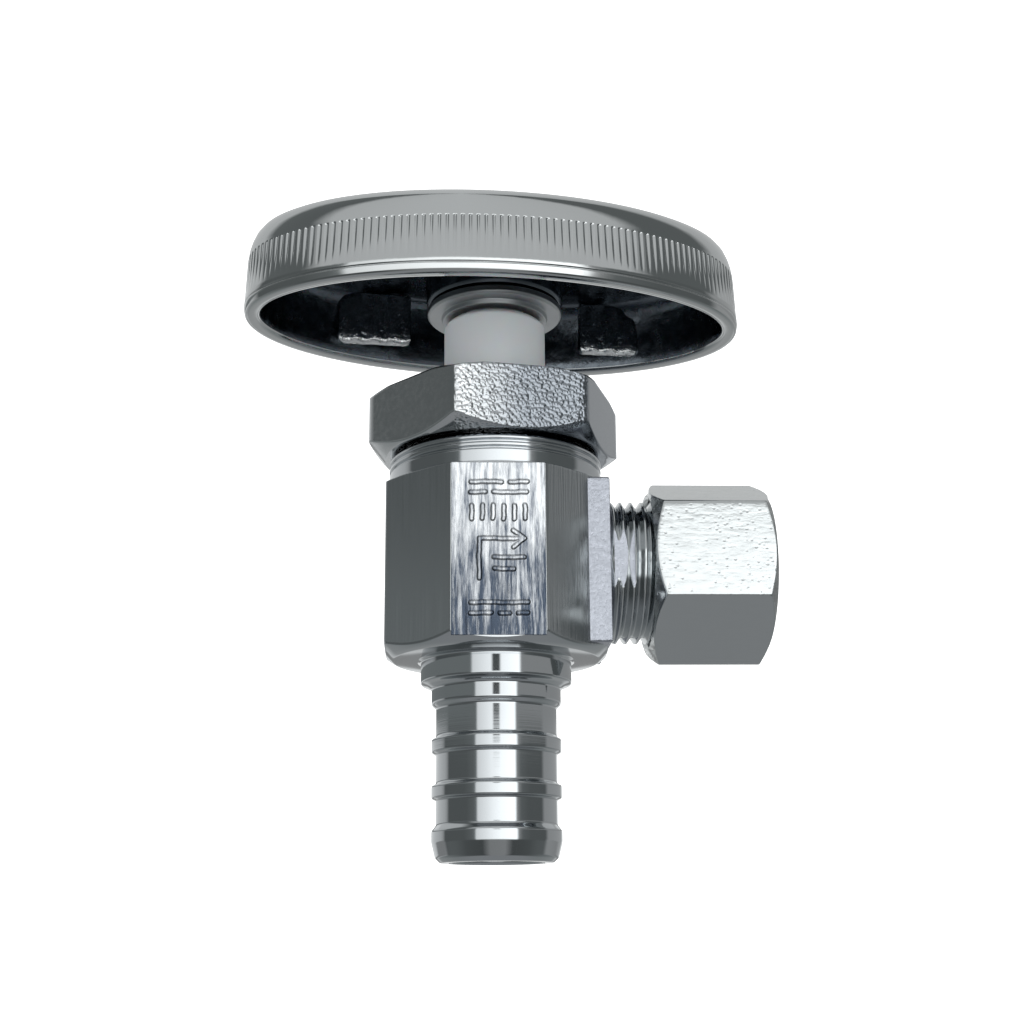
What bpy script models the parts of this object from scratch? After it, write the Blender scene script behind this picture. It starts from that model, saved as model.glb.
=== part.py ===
"""Angle stop valve: 1/2 in PEX crimp inlet (down), 3/8 in compression outlet (+X), multi-turn stem (+Z).

The origin is the centre of the inlet spigot's end face. All sizes below are in millimetres.
Each visible object is one real piece. Cutters and blanks are in the collection "helpers".
"""

import math

import bmesh
import bpy
from mathutils import Matrix

MM = 0.001
STEPS = 48
GAP = 0.3

# Inlet spigot, a 1/2 in PEX crimp insert (ASTM F1807)
RIB_R = 6.35
BARREL_R = 5.91
INLET_BORE_R = 4.4
NECK_R = 7.4
NECK_TOP_Z = 18.9

# Eight-sided body and round collar
BODY_AF = 21.75
BODY_TOP_Z = 36.6
COLLAR_R = 10.72
COLLAR_TOP_Z = 39.9
CHAMBER_R = 7.2
CHAMBER_FLOOR_Z = 23.4
SEAT_Z = 24.6
ORIFICE_R = 3.1

# Outlet, a 9/16-24 male thread on a flattened block
OUTLET_Z = 28.6
BLOCK_X = 11.05
BLOCK_HALF_Y = 6.6
BLOCK_LOW_Z, BLOCK_HIGH_Z = 20.4, 36.1
THREAD_R = 7.14
THREAD_PITCH = 1.058
THREAD_END_X = 21.5
SOCKET_R = 4.85

# Compression nut and ferrule
NUT_AF = 15.875
NUT_X0, NUT_X1 = 14.8, 26.6
TUBE_HOLE_R = 4.95
FERRULE_X0 = 21.85

# Bonnet
BONNET_AF = 22.65
BONNET_LOW_Z = COLLAR_TOP_Z + GAP
BONNET_TOP_Z = 46.6
SHANK_R = 8.1
SHANK_LOW_Z = 33.0
BONNET_TURN = math.radians(-18.4)
CEILING_Z = 44.2

# Stem and its travel
STEM_R = 5.2
STEM_HOLE_R = STEM_R + 0.33
STEM_THREAD_R = 6.2
STEM_PITCH = 1.5
SHOULDER_Z = 55.0
SQUARE_AF = 5.4
SQUARE_TOP_Z = 60.6

# Swivel disc and seat washer, drawn fully open
LIFT = 6.3
WASHER_R = 4.8
WASHER_THICK = 2.2
DISC_R = 5.6

# Handle
HANDLE_A = 25.76
HANDLE_B = 14.37
HANDLE_LOW_Z = 55.0
HANDLE_TOP_Z = 65.0
HANDLE_TURN = math.radians(6.2)
WALL = 1.7
FLUTES = 144
FLUTE_DEPTH = 0.28
HUB_R = 7.1
SCREW_R = 1.5


def collection(name):
    made = bpy.data.collections.new(name)
    bpy.context.scene.collection.children.link(made)
    return made


for old in list(bpy.data.objects):
    bpy.data.objects.remove(old, do_unlink=True)
valve = collection("angle_stop_valve")
helpers = collection("helpers")


def place(name, build, helper=False):
    """An object from a bmesh in millimetres, in the collection it belongs to."""
    mesh = bpy.data.meshes.new(name)
    build.transform(Matrix.Scale(MM, 4))
    build.to_mesh(mesh)
    build.free()
    obj = bpy.data.objects.new(name, mesh)
    (helpers if helper else valve).objects.link(obj)
    if helper:
        obj.hide_render = True
        obj.display_type = "WIRE"
    return obj


def lathe(
    name, profile, closed=False, helper=False, axis="Z", at=(0, 0, 0), steps=STEPS, seam=0.0
):
    """A profile of (radius, height) points, listed down the outer side, turned about the axis.

    The seam is the angle at which turning starts. Cutters start off the seam of what they cut.
    """
    build = bmesh.new()
    verts = [build.verts.new((r * math.cos(seam), r * math.sin(seam), z)) for r, z in profile]
    for a, b in zip(verts, verts[1:] + (verts[:1] if closed else [])):
        if a is not b:
            build.edges.new((a, b))
    obj = place(name, build, helper)
    screw = obj.modifiers.new("turn", "SCREW")
    screw.steps = screw.render_steps = steps
    screw.use_merge_vertices = True
    screw.merge_threshold = 0.00001
    screw.use_smooth_shade = False
    if axis == "X":
        obj.rotation_euler = (0, math.pi / 2, 0)
    obj.location = [v * MM for v in at]
    return obj


def prism(name, sides, across_flats, z0, z1, turn=0.0, helper=True):
    """A regular prism along Z, with a corner at the angle turn from -Y."""
    build = bmesh.new()
    radius = across_flats / 2 / math.cos(math.pi / sides)
    middle = Matrix.Translation((0, 0, (z0 + z1) / 2)) @ Matrix.Rotation(turn - math.pi / 2, 4, "Z")
    bmesh.ops.create_cone(
        build, cap_ends=True, segments=sides, radius1=radius, radius2=radius, depth=z1 - z0
    )
    first = max(build.verts, key=lambda v: v.co.x)
    spin = Matrix.Rotation(-math.atan2(first.co.y, first.co.x), 4, "Z")
    build.transform(middle @ spin)
    return place(name, build, helper)


def block(name, low, high, helper=True, turn=0.0):
    build = bmesh.new()
    bmesh.ops.create_cube(build, size=1)
    build.transform(
        Matrix.Rotation(turn, 4, "Z")
        @ Matrix.Translation([(a + b) / 2 for a, b in zip(low, high)])
        @ Matrix.Diagonal([b - a for a, b in zip(low, high)] + [1])
    )
    return place(name, build, helper)


def boolean(obj, other, kind):
    step = obj.modifiers.new(kind.lower() + "_" + other.name, "BOOLEAN")
    step.operation = kind
    step.solver = "EXACT"
    step.object = other


def vee_rings(major, depth, top, pitch, count):
    """Thread crests and roots down a profile, as parallel rings."""
    points = []
    for k in range(count):
        z = top - k * pitch
        points += [(major - depth, z), (major, z - 0.42 * pitch), (major, z - 0.58 * pitch)]
    return points + [(major - depth, top - count * pitch)]


def material(obj, colour, metallic, roughness):
    made = bpy.data.materials.new(obj.name)
    made.use_nodes = True
    shader = made.node_tree.nodes["Principled BSDF"]
    shader.inputs["Base Color"].default_value = (*colour, 1)
    shader.inputs["Metallic"].default_value = metallic
    shader.inputs["Roughness"].default_value = roughness
    obj.data.materials.append(made)


CHROME = ((0.62, 0.63, 0.65), 1.0, 0.12)
BRASS = ((0.72, 0.52, 0.22), 1.0, 0.3)
STEEL = ((0.48, 0.49, 0.5), 1.0, 0.35)
RUBBER = ((0.02, 0.02, 0.02), 0.0, 0.7)
WHITE = ((0.8, 0.8, 0.78), 0.0, 0.45)

# Valve body: turned spigot and collar, eight-sided middle, outlet block and thread
body = lathe(
    "valve_body",
    [
        (0, COLLAR_TOP_Z),
        (COLLAR_R - 0.25, COLLAR_TOP_Z),
        (COLLAR_R, COLLAR_TOP_Z - 0.25),
        (COLLAR_R, COLLAR_TOP_Z - 0.85),
        (COLLAR_R - 0.2, COLLAR_TOP_Z - 1.0),
        (COLLAR_R - 0.2, COLLAR_TOP_Z - 1.2),
        (COLLAR_R, COLLAR_TOP_Z - 1.35),
        (COLLAR_R, BODY_TOP_Z - 0.6),
        (9.2, BODY_TOP_Z - 1.0),
        (9.2, NECK_TOP_Z + 1.0),
        (NECK_R, NECK_TOP_Z + 0.6),
        (NECK_R, 17.7),
        (NECK_R - 0.4, 17.3),
        (RIB_R, 16.7),
        (RIB_R, 15.3),
        (BARREL_R, 14.8),
        (BARREL_R, 12.1),
        (RIB_R, 11.8),
        (RIB_R, 10.6),
        (BARREL_R, 10.3),
        (BARREL_R, 7.6),
        (RIB_R, 7.3),
        (RIB_R, 6.2),
        (BARREL_R, 5.9),
        (BARREL_R, 3.6),
        (RIB_R, 3.1),
        (RIB_R, 2.0),
        (5.96, 0.35),
        (5.55, 0),
        (0, 0),
    ],
)
octagon = prism(
    "octagon", 8, BODY_AF, NECK_TOP_Z - 1, BODY_TOP_Z + 1, turn=math.pi / 8
)
turned_limits = lathe(
    "turned_limits",
    [
        (0, BODY_TOP_Z),
        (11.1, BODY_TOP_Z),
        (12.0, BODY_TOP_Z - 0.6),
        (12.0, 20.8),
        (10.7, 19.9),
        (9.8, NECK_TOP_Z),
        (0, NECK_TOP_Z),
    ],
    helper=True,
    seam=math.radians(2),
)
boolean(octagon, turned_limits, "INTERSECT")
outlet_block = block(
    "outlet_block",
    (2.0, -BLOCK_HALF_Y, BLOCK_LOW_Z),
    (BLOCK_X, BLOCK_HALF_Y, BLOCK_HIGH_Z),
)
edge = outlet_block.modifiers.new("soften", "BEVEL")
edge.width = 0.45 * MM
edge.segments = 2
rings = vee_rings(THREAD_R, 0.6, THREAD_END_X - 0.7, THREAD_PITCH, 9)
outlet = lathe(
    "outlet",
    [(0, THREAD_END_X), (THREAD_R - 0.75, THREAD_END_X)]
    + rings
    + [(THREAD_R - 0.6, 3.0), (0, 3.0)],
    helper=True,
    axis="X",
    at=(0, 0, OUTLET_Z),
    seam=math.radians(1),
)
body_bore = lathe(
    "body_bore",
    [
        (0, COLLAR_TOP_Z + 2),
        (9.5, COLLAR_TOP_Z + 2),
        (9.5, COLLAR_TOP_Z - 1.4),
        (SHANK_R + GAP, COLLAR_TOP_Z - 1.4),
        (SHANK_R + GAP, SHANK_LOW_Z - GAP),
        (CHAMBER_R, SHANK_LOW_Z - GAP),
        (CHAMBER_R, CHAMBER_FLOOR_Z),
        (ORIFICE_R + 1.5, CHAMBER_FLOOR_Z),
        (ORIFICE_R + 0.9, SEAT_Z),
        (ORIFICE_R, SEAT_Z),
        (ORIFICE_R, 20.4),
        (INLET_BORE_R, 19.4),
        (INLET_BORE_R, -1),
        (0, -1),
    ],
    helper=True,
    seam=math.radians(2),
)
outlet_bore = lathe(
    "outlet_bore",
    [
        (0, THREAD_END_X + 1),
        (6.35, THREAD_END_X + 1),
        (6.35, THREAD_END_X),
        (SOCKET_R, THREAD_END_X - 1.5),
        (SOCKET_R, 15.0),
        (ORIFICE_R, 14.1),
        (ORIFICE_R, 5.5),
        (0, 5.5),
    ],
    helper=True,
    axis="X",
    at=(0, 0, OUTLET_Z),
    steps=32,
    seam=math.radians(2),
)
for other, kind in (
    (octagon, "UNION"),
    (outlet_block, "UNION"),
    (outlet, "UNION"),
    (body_bore, "DIFFERENCE"),
    (outlet_bore, "DIFFERENCE"),
):
    boolean(body, other, kind)
material(body, *CHROME)

# Bonnet: hexagon over the collar, shank screwed into the body
bonnet = lathe(
    "bonnet",
    [
        (0, BONNET_TOP_Z - 0.6),
        (9.0, BONNET_TOP_Z - 0.6),
        (9.0, BONNET_LOW_Z + 0.6),
        (SHANK_R - 0.3, BONNET_LOW_Z + 0.3),
        (SHANK_R - 0.3, COLLAR_TOP_Z - 1.7),
        (SHANK_R, COLLAR_TOP_Z - 2.0),
        (SHANK_R, SHANK_LOW_Z + 0.4),
        (SHANK_R - 0.4, SHANK_LOW_Z),
        (0, SHANK_LOW_Z),
    ],
)
hexagon = prism(
    "hexagon", 6, BONNET_AF, BONNET_LOW_Z - 1, BONNET_TOP_Z + 1, turn=BONNET_TURN
)
hexagon_limits = lathe(
    "hexagon_limits",
    [
        (0, BONNET_TOP_Z),
        (11.8, BONNET_TOP_Z),
        (13.2, BONNET_TOP_Z - 0.6),
        (13.2, BONNET_LOW_Z + 1.4),
        (11.2, BONNET_LOW_Z),
        (0, BONNET_LOW_Z),
    ],
    helper=True,
)
boolean(hexagon, hexagon_limits, "INTERSECT")
bonnet_bore = lathe(
    "bonnet_bore",
    [
        (0, BONNET_TOP_Z + 1),
        (STEM_HOLE_R + 0.4, BONNET_TOP_Z + 1),
        (STEM_HOLE_R + 0.4, BONNET_TOP_Z),
        (STEM_HOLE_R, BONNET_TOP_Z - 0.4),
        (STEM_HOLE_R, CEILING_Z + 1.85),
        (6.55, CEILING_Z + 1.85),
        (6.55, CEILING_Z + 0.6),
        (STEM_HOLE_R, CEILING_Z + 0.6),
        (STEM_HOLE_R, CEILING_Z),
        (STEM_THREAD_R + GAP, CEILING_Z),
        (STEM_THREAD_R + GAP, SHANK_LOW_Z - 1),
        (0, SHANK_LOW_Z - 1),
    ],
    helper=True,
)
boolean(bonnet, hexagon, "UNION")
boolean(bonnet, bonnet_bore, "DIFFERENCE")
material(bonnet, *CHROME)


def o_ring(name, centre_r, tube_r, z):
    build = bmesh.new()
    sides = 12
    loop = [
        build.verts.new(
            (
                centre_r + tube_r * math.cos(-2 * math.pi * k / sides),
                0,
                z + tube_r * math.sin(-2 * math.pi * k / sides),
            )
        )
        for k in range(sides)
    ]
    for a, b in zip(loop, loop[1:] + loop[:1]):
        build.edges.new((a, b))
    obj = place(name, build)
    screw = obj.modifiers.new("turn", "SCREW")
    screw.steps = screw.render_steps = 36
    screw.use_merge_vertices = True
    screw.merge_threshold = 0.00001
    material(obj, *RUBBER)
    return obj


o_ring("bonnet_o_ring", 8.65, 0.55, COLLAR_TOP_Z - 0.55)
o_ring("stem_o_ring", STEM_HOLE_R + 0.35, 0.35, CEILING_Z + 1.22)

washer_low = SEAT_Z + LIFT

# Stem: square for the handle, sealing length, screw thread, button for the swivel disc
stem = lathe(
    "stem",
    [
        (0, SHOULDER_Z),
        (STEM_R - 0.5, SHOULDER_Z),
        (STEM_R - 0.15, SHOULDER_Z - 0.15),
        (STEM_R, SHOULDER_Z - 0.5),
        (STEM_R, CEILING_Z - 0.4),
    ]
    + vee_rings(STEM_THREAD_R, 0.75, CEILING_Z - 0.5, STEM_PITCH, 3)
    + [
        (4.4, CEILING_Z - 5.2),
        (4.4, washer_low + 6.3),
        (2.0, washer_low + 6.3),
        (2.0, washer_low + 4.9),
        (2.9, washer_low + 4.9),
        (2.9, washer_low + 4.4),
        (0, washer_low + 4.4),
    ],
)
square = block(
    "square",
    (-SQUARE_AF / 2, -SQUARE_AF / 2, SHOULDER_Z - 2),
    (SQUARE_AF / 2, SQUARE_AF / 2, SQUARE_TOP_Z),
)
edge = square.modifiers.new("soften", "BEVEL")
edge.width = 0.4 * MM
edge.segments = 2
screw_hole = lathe(
    "screw_hole",
    [
        (0, SQUARE_TOP_Z + 1),
        (SCREW_R + GAP, SQUARE_TOP_Z + 1),
        (SCREW_R + GAP, SQUARE_TOP_Z - 9.6),
        (0, SQUARE_TOP_Z - 10.4),
    ],
    helper=True,
    steps=24,
)
boolean(stem, square, "UNION")
boolean(stem, screw_hole, "DIFFERENCE")
material(stem, *WHITE)

# Swivel disc, seat washer and its screw
disc = lathe(
    "swivel_disc",
    [
        (2.3, washer_low + 6.0),
        (DISC_R - 1.3, washer_low + 6.0),
        (DISC_R - 1.0, washer_low + 5.7),
        (DISC_R - 1.0, washer_low + 3.7),
        (DISC_R, washer_low + 3.1),
        (DISC_R, washer_low + 0.8),
        (DISC_R - 0.2, washer_low + 0.6),
        (WASHER_R + GAP, washer_low + 0.6),
        (WASHER_R + GAP, washer_low + WASHER_THICK + GAP),
        (1.6, washer_low + WASHER_THICK + GAP),
        (1.6, washer_low + 4.1),
        (3.2, washer_low + 4.1),
        (3.2, washer_low + 5.2),
        (2.3, washer_low + 5.2),
    ],
    closed=True,
    steps=36,
)
material(disc, *BRASS)
seat_washer = lathe(
    "seat_washer",
    [
        (1.6, washer_low + WASHER_THICK),
        (WASHER_R, washer_low + WASHER_THICK),
        (WASHER_R, washer_low + 0.3),
        (WASHER_R - 0.3, washer_low),
        (1.6, washer_low),
    ],
    closed=True,
    steps=36,
)
material(seat_washer, *RUBBER)
washer_screw = lathe(
    "washer_screw",
    [
        (0, washer_low + 3.8),
        (1.0, washer_low + 3.8),
        (1.3, washer_low + 3.5),
        (1.3, washer_low - 0.3),
        (2.5, washer_low - 0.3),
        (2.5, washer_low - 0.8),
        (1.9, washer_low - 1.3),
        (0, washer_low - 1.4),
    ],
    steps=24,
)
slot = block("slot", (-3, -0.3, washer_low - 2), (3, 0.3, washer_low - 0.9))
boolean(washer_screw, slot, "DIFFERENCE")
material(washer_screw, *BRASS)

# Stepped washer between the stem's shoulder and the handle hub
hub_washer = lathe(
    "hub_washer",
    [
        (4.15, SHOULDER_Z + 1.6),
        (6.95, SHOULDER_Z + 1.6),
        (6.95, SHOULDER_Z + 1.0),
        (6.75, SHOULDER_Z + 0.8),
        (5.5, SHOULDER_Z + 0.8),
        (5.5, SHOULDER_Z + 0.3),
        (4.15, SHOULDER_Z + 0.3),
    ],
    closed=True,
    steps=40,
)
material(hub_washer, *STEEL)


def oval_solid(name, rings, helper=False, points=2 * FLUTES):
    """A closed solid skinned over ovals. Each ring is (a, b, z, flute depth), listed from the bottom."""
    build = bmesh.new()
    loops = []
    for a, b, z, depth in rings:
        loop = []
        for k in range(points):
            t = 2 * math.pi * k / points
            # Even spacing along the edge: the angle runs slower where the oval is flatter.
            t -= 0.16 * math.sin(2 * t)
            x, y = a * math.cos(t), b * math.sin(t)
            nx, ny = math.cos(t) / a, math.sin(t) / b
            inward = depth * (k % 2) / math.hypot(nx, ny)
            loop.append(build.verts.new((x - nx * inward, y - ny * inward, z)))
        loops.append(loop)
    for low, high in zip(loops, loops[1:]):
        for k in range(points):
            j = (k + 1) % points
            build.faces.new((low[k], low[j], high[j], high[k]))
    build.faces.new(list(reversed(loops[0])))
    build.faces.new(loops[-1])
    return place(name, build, helper)


# Handle: fluted oval shell with a hub, open below
A, B = HANDLE_A, HANDLE_B
handle = oval_solid(
    "handle",
    [
        (A - 0.3, B - 0.3, HANDLE_LOW_Z, 0),
        (A, B, HANDLE_LOW_Z + 0.35, 0),
        (A - 0.05, B - 0.05, HANDLE_LOW_Z + 1.6, 0),
        (A - 0.25, B - 0.25, HANDLE_LOW_Z + 4.6, FLUTE_DEPTH),
        (A - 0.3, B - 0.3, HANDLE_LOW_Z + 5.3, FLUTE_DEPTH),
        (A - 0.35, B - 0.35, HANDLE_LOW_Z + 5.7, 0),
        (A - 0.8, B - 0.8, HANDLE_LOW_Z + 7.0, 0),
        (A - 1.6, B - 1.6, HANDLE_LOW_Z + 8.1, 0),
        (A - 3.3, B - 3.0, HANDLE_LOW_Z + 9.0, 0),
        (A - 9.5, B - 6.0, HANDLE_TOP_Z - 0.3, 0),
        (A - 15.5, B - 8.6, HANDLE_TOP_Z, 0),
    ],
)
I, J = A - WALL, B - WALL
hollow = oval_solid(
    "hollow",
    [
        (I, J, HANDLE_LOW_Z - 1, 0),
        (I, J, HANDLE_LOW_Z, 0),
        (I - 0.5, J - 0.5, HANDLE_LOW_Z + 5.3, 0),
        (I - 1.6, J - 1.6, HANDLE_LOW_Z + 6.5, 0),
        (I - 4.0, J - 3.4, HANDLE_LOW_Z + 7.1, 0),
    ],
    helper=True,
    points=72,
)
hub = lathe(
    "hub",
    [
        (0, HANDLE_TOP_Z - 0.8),
        (HUB_R + 0.5, HANDLE_TOP_Z - 1.5),
        (HUB_R, HANDLE_LOW_Z + 5.0),
        (HUB_R - 0.3, SHOULDER_Z + 1.9),
        (0, SHOULDER_Z + 1.9),
    ],
    helper=True,
)
pads = [
    block(
        f"pad_{k}",
        (x0, y0, HANDLE_LOW_Z + 1.2),
        (x1, y1, HANDLE_LOW_Z + 6.8),
    )
    for k, (x0, x1, y0, y1) in enumerate(
        (
            (-16.3, -8.9, 7.8, 9.6),
            (9.5, 15.9, 7.8, 9.6),
            (-16.3, -8.9, -9.6, -7.8),
            (9.5, 15.9, -9.6, -7.8),
        )
    )
]
socket = block(
    "socket",
    (-SQUARE_AF / 2 - GAP, -SQUARE_AF / 2 - GAP, SHOULDER_Z),
    (SQUARE_AF / 2 + GAP, SQUARE_AF / 2 + GAP, SQUARE_TOP_Z + GAP),
)
head_recess = lathe(
    "head_recess",
    [
        (0, HANDLE_TOP_Z + 1),
        (4.5, HANDLE_TOP_Z + 1),
        (4.4, HANDLE_TOP_Z - 2.9),
        (SCREW_R + GAP, HANDLE_TOP_Z - 2.9),
        (SCREW_R + GAP, SQUARE_TOP_Z - 1),
        (0, SQUARE_TOP_Z - 1),
    ],
    helper=True,
    steps=32,
)
for obj in (handle, hollow, socket, square, *pads):
    obj.rotation_euler.z = HANDLE_TURN
boolean(handle, hollow, "DIFFERENCE")
boolean(handle, hub, "UNION")
for pad in pads:
    boolean(handle, pad, "UNION")
boolean(handle, socket, "DIFFERENCE")
boolean(handle, head_recess, "DIFFERENCE")
material(handle, *CHROME)

# Lock washer and screw on top of the handle
lock_washer = lathe(
    "lock_washer",
    [(1.9, 62.95), (3.7, 62.95), (3.7, 62.4), (1.9, 62.4)],
    closed=True,
    steps=32,
)
material(lock_washer, *STEEL)
handle_screw = lathe(
    "handle_screw",
    [
        (0, 65.15),
        (1.6, 65.05),
        (3.1, 64.5),
        (3.7, 63.7),
        (3.7, 63.25),
        (SCREW_R, 63.25),
        (SCREW_R, 52.4),
        (0, 51.4),
    ],
    steps=32,
)
for k, (wide, deep) in enumerate(((2.1, 0.38), (0.38, 2.1))):
    cross = block(f"cross_{k}", (-wide, -deep, 63.9), (wide, deep, 66))
    boolean(handle_screw, cross, "DIFFERENCE")
material(handle_screw, *STEEL)

# Ferrule and compression nut on the outlet
ferrule = lathe(
    "ferrule",
    [
        (4.8, FERRULE_X0 + 2.85),
        (5.2, FERRULE_X0 + 2.85),
        (6.05, FERRULE_X0 + 1.9),
        (6.05, FERRULE_X0 + 1.2),
        (5.15, FERRULE_X0),
        (4.8, FERRULE_X0),
    ],
    closed=True,
    axis="X",
    at=(0, 0, OUTLET_Z),
    steps=40,
)
material(ferrule, *BRASS)
nut = prism("compression_nut", 6, NUT_AF, NUT_X0, NUT_X1, turn=math.radians(-34.7), helper=False)
nut.rotation_euler = (0, math.pi / 2, 0)
nut.location = (0, 0, OUTLET_Z * MM)
nut_limits = lathe(
    "nut_limits",
    [
        (0, NUT_X1),
        (8.1, NUT_X1),
        (9.3, NUT_X1 - 0.8),
        (9.3, NUT_X0 + 0.7),
        (8.2, NUT_X0),
        (0, NUT_X0),
    ],
    helper=True,
    axis="X",
    at=(0, 0, OUTLET_Z),
)
nut_bore = lathe(
    "nut_bore",
    [
        (0, NUT_X1 + 1),
        (TUBE_HOLE_R + 0.3, NUT_X1 + 1),
        (TUBE_HOLE_R + 0.3, NUT_X1),
        (TUBE_HOLE_R, NUT_X1 - 0.3),
        (TUBE_HOLE_R, NUT_X1 - 1.3),
        (6.7, FERRULE_X0 + 1.95),
        (THREAD_R + GAP, FERRULE_X0 + 1.45),
        (THREAD_R + GAP, NUT_X0 + 0.4),
        (THREAD_R + GAP + 0.4, NUT_X0),
        (THREAD_R + GAP + 0.4, NUT_X0 - 1),
        (0, NUT_X0 - 1),
    ],
    helper=True,
    axis="X",
    at=(0, 0, OUTLET_Z),
)
boolean(nut, nut_limits, "INTERSECT")
boolean(nut, nut_bore, "DIFFERENCE")
material(nut, *CHROME)
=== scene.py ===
"""Finished look of the angle stop valve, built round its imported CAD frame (metres, +Z up)."""

import math

import bpy
import numpy as np
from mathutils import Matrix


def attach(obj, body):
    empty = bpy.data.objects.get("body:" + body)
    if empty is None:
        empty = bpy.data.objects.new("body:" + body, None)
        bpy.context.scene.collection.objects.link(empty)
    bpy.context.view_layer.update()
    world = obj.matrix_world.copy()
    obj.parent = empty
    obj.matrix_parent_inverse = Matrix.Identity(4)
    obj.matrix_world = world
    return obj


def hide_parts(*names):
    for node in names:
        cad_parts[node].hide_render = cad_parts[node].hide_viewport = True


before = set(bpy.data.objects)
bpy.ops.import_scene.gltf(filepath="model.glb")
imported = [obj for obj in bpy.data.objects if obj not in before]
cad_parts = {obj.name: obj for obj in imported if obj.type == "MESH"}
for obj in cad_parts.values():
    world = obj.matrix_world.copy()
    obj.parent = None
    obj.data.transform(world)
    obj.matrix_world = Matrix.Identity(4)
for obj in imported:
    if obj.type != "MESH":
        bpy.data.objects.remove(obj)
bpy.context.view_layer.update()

# ---------------------------------------------------------------------------
# Valve body
# A brass forging, turned at both ends, milled to eight flats and chromed. The ribbed spigot
# takes the pipe, the round collar takes the bonnet, and the seat is cut inside.
# ---------------------------------------------------------------------------

MM = 0.001
BODY_FLATS = 21.75
BODY_CORNER = math.radians(22.5)
BODY_FOOT, BODY_HEAD = 19.9, 37.0
# The foot is chamfered at 35 degrees, and the corners of the head at 14 degrees.
FOOT_SLOPE, HEAD_SLOPE = 0.69, 0.25
FOOT_R, HEAD_R = 10.7, 11.1
SPIGOT = [
    (3.1, 24.6), (3.1, 20.4), (4.4, 19.4), (4.4, 0.3), (4.65, 0.0), (5.5, 0.0), (5.98, 0.45),
    (6.35, 2.0), (6.35, 3.0), (5.91, 3.55), (5.91, 5.95), (6.35, 6.15), (6.35, 7.3),
    (5.91, 7.55), (5.91, 10.35), (6.35, 10.6), (6.35, 11.8), (5.91, 12.05), (5.91, 14.85),
    (6.35, 15.25), (6.35, 16.75), (6.85, 17.1), (7.43, 17.3), (7.43, 19.4), (7.75, 19.55),
    (10.1, 19.6),
]  # fmt: skip
COLLAR = [
    (10.74, 37.0), (10.73, 37.06), (10.72, 37.2), (10.72, 38.3), (10.5, 38.4), (10.5, 38.55),
    (10.72, 38.65), (10.72, 38.95), (10.48, 39.05), (10.48, 39.25), (10.72, 39.35),
    (10.72, 39.6), (10.45, 39.9), (9.5, 39.9), (9.5, 38.5), (8.4, 38.5), (8.4, 32.7),
    (7.2, 32.7), (7.2, 23.4), (4.6, 23.4), (4.0, 24.6),
]  # fmt: skip


def soften(profile, radius, steps=4):
    """Round the inner corners of an (r, z) profile.

    Each corner becomes the quadratic curve (1-s)^2 A + 2s(1-s) C + s^2 B, where A and B lie one
    radius from the corner C along its two sides. A point just outside each end keeps the
    shading of the flats level.
    """
    p = np.asarray(profile, float)
    back, ahead = p[:-2] - p[1:-1], p[2:] - p[1:-1]
    long_back = np.linalg.norm(back, axis=1, keepdims=True)
    long_ahead = np.linalg.norm(ahead, axis=1, keepdims=True)
    reach = np.minimum(radius, 0.3 * np.minimum(long_back, long_ahead))
    a = p[1:-1] + back / long_back * reach
    b = p[1:-1] + ahead / long_ahead * reach
    s = np.linspace(0, 1, steps + 1)[None, :, None]
    arc = (1 - s) ** 2 * a[:, None] + 2 * s * (1 - s) * p[1:-1, None] + s**2 * b[:, None]
    near_a = p[1:-1] + back / long_back * reach * 1.5
    near_b = p[1:-1] + ahead / long_ahead * reach * 1.5
    rounded = np.concatenate([near_a[:, None], arc, near_b[:, None]], axis=1).reshape(-1, 2)
    return np.vstack([p[:1], rounded, p[-1:]])


def side_columns(sides, corner, count):
    """Angles round a prism: evenly spread over each side, with extra ones close to its corners."""
    share = np.r_[0.0, 0.008, 0.03, np.linspace(0.07, 0.93, count), 0.97, 0.992]
    return corner + ((np.arange(sides)[:, None] + share) * 2 * np.pi / sides).ravel()


def flats(angles, sides, across, corner, round_off=0.03):
    """Radius of a prism at each angle: half the width over the cosine from the side's middle."""
    turn = np.mod(angles - corner, 2 * np.pi / sides) - np.pi / sides
    radius = across / 2 / np.cos(turn)
    return np.minimum(radius, across / 2 / math.cos(np.pi / sides) - round_off)


def rings(profile, angles):
    """Turn an (r, z) profile into radius and height arrays, one row per profile point."""
    p = np.asarray(profile, float)
    ones = np.ones_like(angles)
    return p[:, :1] * ones, p[:, 1:] * ones


def skin(name, grid, around=False):
    """A closed smooth mesh from a (rows, columns, 3) grid in millimetres.

    Columns run round the piece. With around, the last row joins the first, as on a ring.
    Otherwise a pole point closes each end. Faces are turned to give a positive volume.
    """
    rows, columns = grid.shape[:2]
    index = np.arange(rows * columns).reshape(rows, columns)
    low = index if around else index[:-1]
    high = np.roll(index, -1, axis=0) if around else index[1:]
    quads = np.stack([low, np.roll(low, -1, 1), np.roll(high, -1, 1), high], axis=-1)
    faces = quads.reshape(-1, 4).tolist()
    points = grid.reshape(-1, 3)
    if not around:
        first, last = len(points), len(points) + 1
        points = np.vstack([points, grid[0].mean(0), grid[-1].mean(0)])
        faces += np.stack([np.full(columns, first), np.roll(index[0], -1), index[0]], 1).tolist()
        faces += np.stack([np.full(columns, last), index[-1], np.roll(index[-1], -1)], 1).tolist()
    a, b, c, d = (points[quads.reshape(-1, 4)[:, k]] for k in range(4))
    volume = np.einsum("ij,ij->i", a, np.cross(b, c) + np.cross(c, d)).sum()
    if volume < 0:
        faces = [face[::-1] for face in faces]
    mesh = bpy.data.meshes.new(name)
    mesh.from_pydata((points * MM).tolist(), [], faces)
    mesh.polygons.foreach_set("use_smooth", np.ones(len(faces), bool))
    mesh.update()
    piece = bpy.data.objects.new(name, mesh)
    bpy.context.scene.collection.objects.link(piece)
    return piece


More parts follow.
